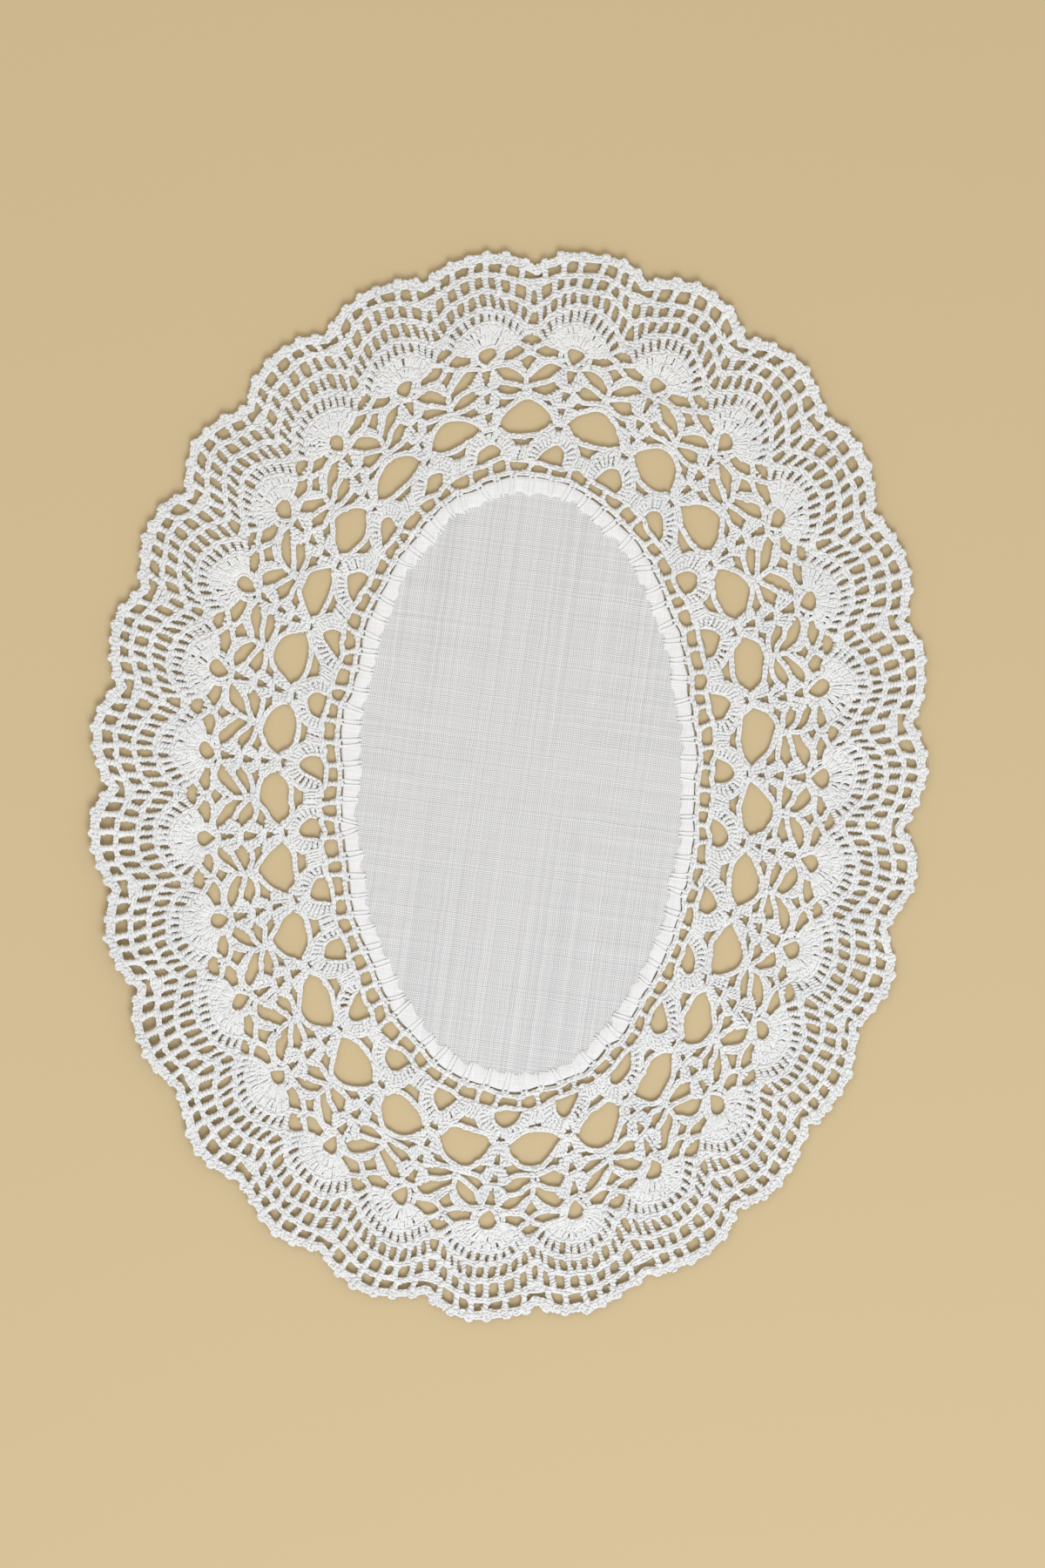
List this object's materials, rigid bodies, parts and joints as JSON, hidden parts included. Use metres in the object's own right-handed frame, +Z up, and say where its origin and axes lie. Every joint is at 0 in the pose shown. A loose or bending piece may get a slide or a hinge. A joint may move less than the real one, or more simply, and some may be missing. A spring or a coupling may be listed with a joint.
{
  "type": "lace doily",
  "caption": "Oval table doily lying flat: a hemmed linen centre inside a wide crocheted border of scalloped fans.",
  "frame": {"origin": "on the surface that the doily lies on, under the middle of its outline", "axes": "+Y along the oval's length, +X across it, +Z up from the surface"},
  "size_m": [0.2782, 0.3563, 0.0041],
  "materials": {
    "linen": "plain-weave linen, matt, slightly sheer",
    "crochet_cotton": "mercerised crochet cotton, soft sheen"
  },
  "bodies": {
    "root": {"linen_centre": "linen", "lace_border": "crochet_cotton"}
  },
  "joints": []
}
